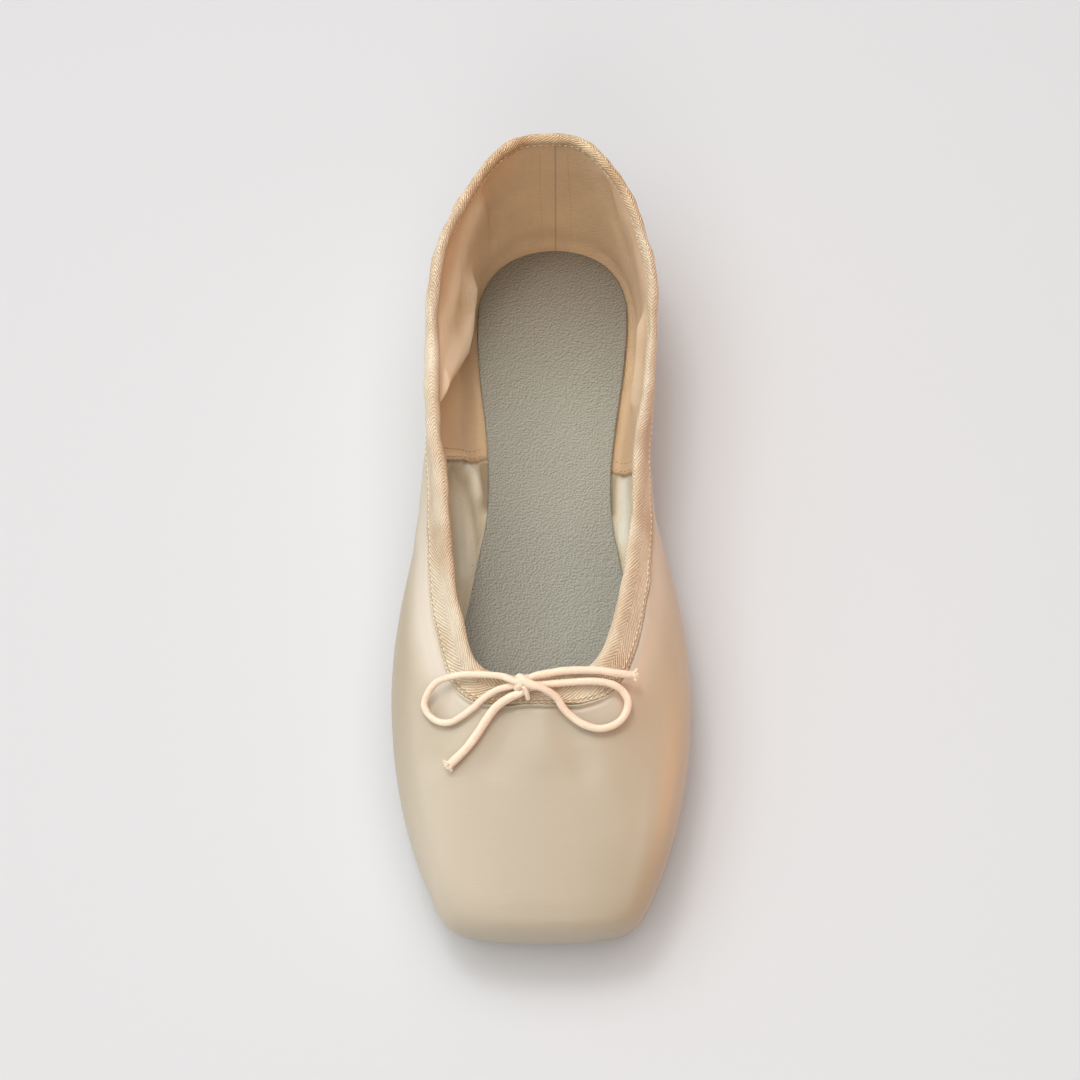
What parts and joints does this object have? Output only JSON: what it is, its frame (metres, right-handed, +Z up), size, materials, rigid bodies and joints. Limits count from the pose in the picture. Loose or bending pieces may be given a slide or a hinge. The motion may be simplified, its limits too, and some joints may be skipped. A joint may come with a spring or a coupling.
{
  "type": "pointe shoe",
  "caption": "Satin ballet pointe shoe with a blunt hardened toe box, taped collar, drawstring bow, insole and leather outsole, standing empty on its sole.",
  "frame": {"origin": "on the floor, under the middle of the shoe's length and width", "axes": "+Z up, +Y towards the heel, -Y towards the toe, +X to the right as seen from above with the toe towards the viewer's feet"},
  "size_m": [0.0848, 0.2402, 0.061],
  "materials": {
    "satin": "soft satin sheen",
    "tape": "herringbone cotton tape",
    "sole_leather": "brushed, matt",
    "insole": "fine pebbled grain, matt",
    "cord": "braided cotton"
  },
  "bodies": {
    "root": {"upper": "satin", "collar_tape": "tape", "outsole": "sole_leather", "insole": "insole", "bow_knot": "cord", "bow_loop_left": "cord", "bow_loop_right": "cord", "bow_end_left": "cord", "bow_end_right": "cord"}
  },
  "joints": []
}
